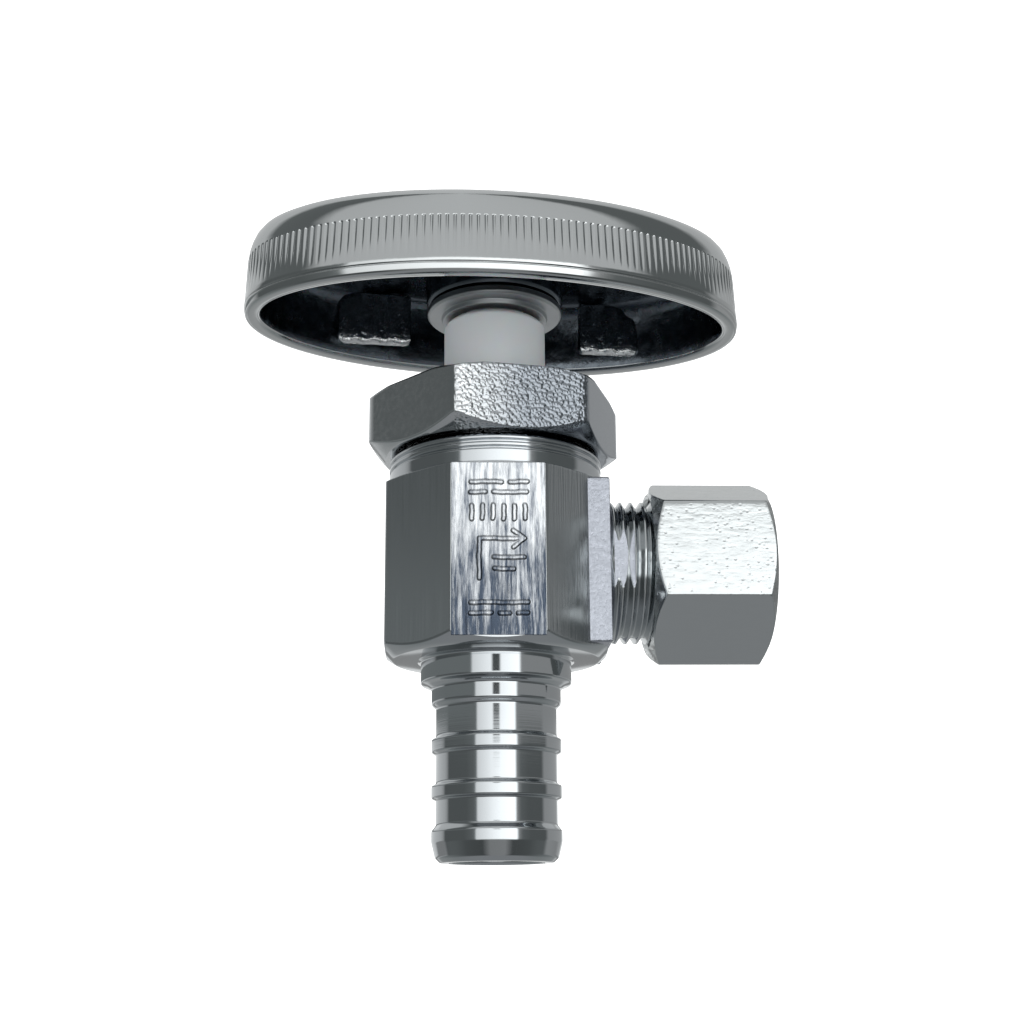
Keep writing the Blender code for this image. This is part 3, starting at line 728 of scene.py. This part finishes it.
# Each pad is given by its left and right ends, its front and back, and its lower end.
PADS = [
    (-15.9, -8.1, 8.3, 9.6, 55.9), (10.7, 17.1, 8.3, 9.6, 55.9),
    (-15.9, -8.1, -9.6, -8.3, 58.6), (10.7, 17.1, -9.6, -8.3, 58.6),
]  # fmt: skip
PAD_TOP, PAD_ROUND = 61.8, 0.6
for number, (left, right, front_y, back_y, low_z) in enumerate(PADS, 1):
    pad_grid = loft_box((left, front_y, low_z), (right, back_y, PAD_TOP), PAD_ROUND)
    lumps = 0.12 * np.sin(pad_grid[..., :1] * 3.1 + number) * np.sin(pad_grid[..., 2:] * 2.3)
    pad = skin(f"handle_pad_{number}", swing(pad_grid + lumps * [0, 1, 1]))
    pad.data.materials.append(cast_chrome)
    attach(pad, "stem_and_handle")

# ---------------------------------------------------------------------------
# Handle screw and lock washer
# A zinc-plated pan screw with a cross recess, sunk in the handle's top on a sprung washer.
# ---------------------------------------------------------------------------

angles = np.linspace(0, 2 * np.pi, 144, endpoint=False)
SCREW_TOP, SCREW_HEAD_R = 65.12, 3.55
CROSS_HALF, CROSS_REACH, CROSS_DEPTH = 0.48, 2.0, 1.2
spread = np.linspace(0.0, 1.0, 34)[1:, None] * SCREW_HEAD_R
dome = SCREW_TOP - 0.055 * spread**2
# The recess is where the smaller of the two distances from the screw's axes is under its half
# width, and the larger is under its reach.
side_a, side_b = np.abs(spread * np.cos(angles)), np.abs(spread * np.sin(angles))
in_arm = np.clip((CROSS_HALF - np.minimum(side_a, side_b)) / 0.12, 0, 1)
in_reach = np.clip((CROSS_REACH - np.maximum(side_a, side_b)) / 0.5, 0, 1)
head_z = dome - CROSS_DEPTH * in_arm * in_reach
side_r, side_z = rings(
    soften(
        [(3.62, 64.3), (3.7, 63.8), (3.7, 63.25), (1.5, 63.25), (1.5, 52.4), (0.4, 51.7)], 0.12
    ),
    angles,
)
screw = skin(
    "handle_screw_pan",
    upright(
        np.vstack([np.broadcast_to(spread, head_z.shape), side_r]),
        np.vstack([head_z, side_z]),
        angles,
    ),
)
screw.data.materials.append(turned_steel)
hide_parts("handle_screw")
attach(screw, "stem_and_handle")
refinish(turned_steel, "lock_washer")

# ---------------------------------------------------------------------------
# Compression nut
# A brass hexagon, chamfered on the lathe at both ends and chromed. Fine pits are left in its
# sides. It squeezes the brass ferrule on the riser tube.
# ---------------------------------------------------------------------------

NUT_FLATS = 16.5
NUT_CORNER = math.radians(34.7)
NUT_START, NUT_END = 15.1, 26.95
NUT_CONE_R, NUT_CONE_SLOPE = 8.1, 0.62
columns = side_columns(6, NUT_CORNER, 24)
six = flats(columns, 6, NUT_FLATS, NUT_CORNER, round_off=0.06)
start_x = NUT_START + np.maximum(six - NUT_CONE_R, 0) * NUT_CONE_SLOPE
end_x = NUT_END - np.maximum(six - NUT_CONE_R, 0) * NUT_CONE_SLOPE
inner_r, inner_x = rings(
    soften(
        [
            (5.6, NUT_END), (5.2, 26.9), (4.95, 26.6), (4.95, 25.4), (6.7, 23.9), (7.5, 23.1),
            (7.5, 15.5), (7.8, NUT_START),
        ],
        0.12,
    ),
    columns,
)  # fmt: skip
side_r = np.stack([
    six * 0 + 7.85, np.minimum(six - 0.15, NUT_CONE_R), six - 0.05, six, six, six, six, six,
    six - 0.05, np.minimum(six - 0.15, NUT_CONE_R), six * 0 + 7.8,
])  # fmt: skip
side_x = np.stack([
    six * 0 + NUT_START, start_x, start_x + 0.03, start_x + 0.12, start_x + 0.35,
    (start_x + end_x) / 2, end_x - 0.35, end_x - 0.12, end_x - 0.03, end_x, six * 0 + NUT_END,
])  # fmt: skip
nut = skin(
    "compression_nut_hexagon",
    along_x(np.vstack([inner_r, side_r]), np.vstack([inner_x, side_x]), columns),
    around=True,
)
# Chrome over drawn hexagon bar: bright, with pits 0.67 mm apart and faint drawing lines.
drawn_chrome, tree, shader = finish_material("drawn_chrome", "#ccd0d1", Metallic=1.0)
_, bump = grain(tree, shader, 0.5, (3, 1, 1), depth=0.02, spread=(0.1, 0.2), detail=3.0)
where = add(tree, "TexCoord")
pits = add(tree, "TexVoronoi", {"Vector": where.outputs["Object"]}, Scale=1000 / 0.6667)
deep = add(
    tree, "MapRange", {"Value": pits.outputs["Distance"]}, From_Min=0.1, From_Max=0.28
)
pit_bump = add(
    tree, "Bump", {"Height": deep.outputs[0], "Normal": bump.outputs[0]},
    Strength=0.5, Distance=0.02 * MM,
)  # fmt: skip
tree.links.new(pit_bump.outputs[0], shader.inputs["Normal"])
nut.data.materials.append(drawn_chrome)
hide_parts("compression_nut")
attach(nut, "nut_group")

# ---------------------------------------------------------------------------
# Studio
# A plain pale floor below the hanging valve, a soft sky of white and grey panels for the
# chrome to mirror, and the camera.
# ---------------------------------------------------------------------------

FLOOR_Z = -60
floor_mesh = bpy.data.meshes.new("floor")
corners = np.array([(-3000, -3000), (3000, -3000), (3000, 3000), (-3000, 3000)])
floor_mesh.from_pydata(
    (np.c_[corners, np.full(4, FLOOR_Z)] * MM).tolist(), [], [(0, 1, 2, 3)]
)
floor = bpy.data.objects.new("floor", floor_mesh)
bpy.context.scene.collection.objects.link(floor)
floor.visible_glossy = False
pale, tree, shader = finish_material("pale_floor", "#f4f4f4", Roughness=0.9)
shader.inputs["Emission Color"].default_value = srgb("#ffffff")
shader.inputs["Emission Strength"].default_value = 0.35
floor.data.materials.append(pale)

# Panels by direction: bearing 0 is the camera's side (-Y), and it grows to 180 toward +X and
# to -180 the other way. Each stop is (bearing in degrees, brightness).
LEVEL_BAND = [
    (-180, 0.5), (-158, 0.48), (-146, 0.42), (-116, 0.32), (-109, 0.24), (-103, 0.07), (-60, 0.07),
    (-46, 0.09), (-40, 0.12), (-37, 0.6), (-20, 0.75), (-7, 0.9), (4, 1.0), (33, 1.15), (37, 0.2),
    (44, 0.09), (60, 0.07), (92, 0.07), (100, 0.22), (150, 0.26), (157, 0.45), (163, 0.5),
    (180, 0.5),
]  # fmt: skip
LENS_BAND = [
    (-40, 0.12), (-37, 0.6), (-9, 0.85), (-6, 0.05), (3, 0.05), (6, 0.9), (33, 1.1), (37, 0.2),
]  # fmt: skip
HIGH_BAND = [
    (-180, 0.38), (-112, 0.34), (-99, 0.09), (-64, 0.08), (-52, 0.34), (0, 0.38), (52, 0.34),
    (62, 0.08), (100, 0.08), (112, 0.3), (180, 0.38),
]  # fmt: skip
LOW_BAND = [
    (-180, 0.24), (-120, 0.14), (-60, 0.06), (-28, 0.05), (-14, 0.17), (14, 0.18), (28, 0.05),
    (60, 0.06), (120, 0.14), (180, 0.24),
]  # fmt: skip

world = bpy.data.worlds.new("studio")
bpy.context.scene.world = world
world.use_nodes = True
tree = world.node_tree
tree.nodes.clear()
where = add(tree, "TexCoord")
way = add(tree, "SeparateXYZ", {"Vector": where.outputs["Generated"]})
back = add(tree, "Math", {0: way.outputs["Y"]}, operation="MULTIPLY")
back.inputs[1].default_value = -1
bearing = add(tree, "Math", {0: way.outputs["X"], 1: back.outputs[0]}, operation="ARCTAN2")
turn = add(tree, "MapRange", {"Value": bearing.outputs[0]}, From_Min=-math.pi, From_Max=math.pi)


def band(stops):
    """A brightness ramp over the bearing."""
    ramp = add(tree, "ValToRGB", {"Fac": turn.outputs[0]})
    stops_in = ramp.color_ramp.elements
    while len(stops_in) < len(stops):
        stops_in.new(0.5)
    for element, (degrees, value) in zip(stops_in, stops):
        element.position = degrees / 360 + 0.5
        cool = 1.08 if value < 0.15 else 1.015
        element.color = (value, value * cool, value * cool, 1)
    return ramp.outputs["Color"]


def rise(low, high):
    """0 below one height on the unit sphere and 1 above the other."""
    return add(
        tree, "MapRange", {"Value": way.outputs["Z"]}, From_Min=low, From_Max=high
    ).outputs[0]


def mix(factor, a, b):
    """Colour a where the factor is 0 and colour b where it is 1."""
    return add(tree, "MixRGB", {"Fac": factor, "Color1": a, "Color2": b}).outputs[0]


# The lens and stand are a small dark shape in the middle of the front panel.
level = mix(rise(0.115, 0.135), band(LEVEL_BAND), band(LENS_BAND))
level = mix(rise(0.215, 0.25), level, band(LEVEL_BAND))
sky = mix(rise(-0.36, -0.2), band(LOW_BAND), level)
# A darker skirting runs along the foot of the back wall.
skirting = [(degrees, value if abs(degrees) < 105 else 0.17) for degrees, value in LEVEL_BAND]
lower = mix(rise(-0.25, -0.22), sky, band(skirting))
sky = mix(rise(-0.13, -0.1), lower, sky)
sky = mix(rise(0.42, 0.46), sky, band(HIGH_BAND))
down = add(tree, "RGB")
down.outputs[0].default_value = (0.17, 0.175, 0.18, 1)
sky = mix(rise(-0.9, -0.7), down.outputs[0], sky)
white = add(tree, "RGB")
white.outputs[0].default_value = (1.0, 1.0, 1.0, 1)
seen = add(tree, "LightPath")
sky = mix(seen.outputs["Is Camera Ray"], sky, white.outputs[0])
light = add(tree, "Background", {"Color": sky}, Strength=1.65)
add(tree, "OutputWorld", {"Surface": light.outputs[0]})

sun = bpy.data.lights.new("soft_top", "SUN")
sun.energy = 1.3
sun.angle = math.radians(70)
top = bpy.data.objects.new("soft_top", sun)
top.rotation_euler = (math.radians(18), math.radians(12), 0)
top.visible_glossy = False
bpy.context.scene.collection.objects.link(top)

camera_data = bpy.data.cameras.new("camera")
camera_data.lens = 53.51
camera_data.sensor_width = 36
camera_data.shift_y = 70 / 1024
camera_data.clip_start = 0.01
camera = bpy.data.objects.new("camera", camera_data)
camera.location = (-3.79 * MM, -148.54 * MM, -6.01 * MM)
camera.rotation_euler = (math.radians(90 + 12.78), math.radians(0.4), math.radians(-2.0))
bpy.context.scene.collection.objects.link(camera)
bpy.context.scene.camera = camera
bpy.context.scene.view_settings.view_transform = "Standard"
